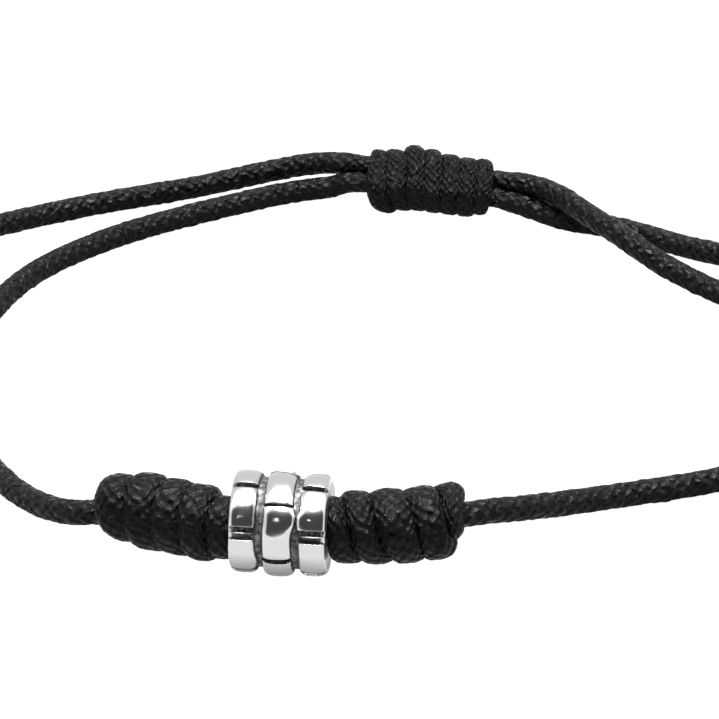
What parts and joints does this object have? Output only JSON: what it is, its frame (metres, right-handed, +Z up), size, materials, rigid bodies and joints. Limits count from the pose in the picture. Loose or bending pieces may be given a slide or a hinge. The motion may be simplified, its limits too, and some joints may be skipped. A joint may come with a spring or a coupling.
{
  "type": "string bracelet",
  "caption": "Adjustable bracelet of black braided cord, with a silver bead between coil knots, a sliding knot and two free ends with stopper knots.",
  "frame": {"origin": "on the table under the middle of the loop's box", "axes": "+X to the right of the bead along the front, +Y from the bead to the sliding knot, +Z up from the table"},
  "size_m": [0.0806, 0.0693, 0.0083],
  "materials": {
    "silver": "polished silver with dark grooves",
    "cord": "braided, lightly waxed"
  },
  "bodies": {
    "root": {"bead": "silver", "coil_knot_left": "cord", "coil_knot_right": "cord", "sliding_knot": "cord", "loop_cord_left": "cord", "loop_cord_right": "cord", "free_end_left": "cord", "free_end_right": "cord", "stopper_knot_left": "cord", "stopper_knot_right": "cord"}
  },
  "joints": []
}
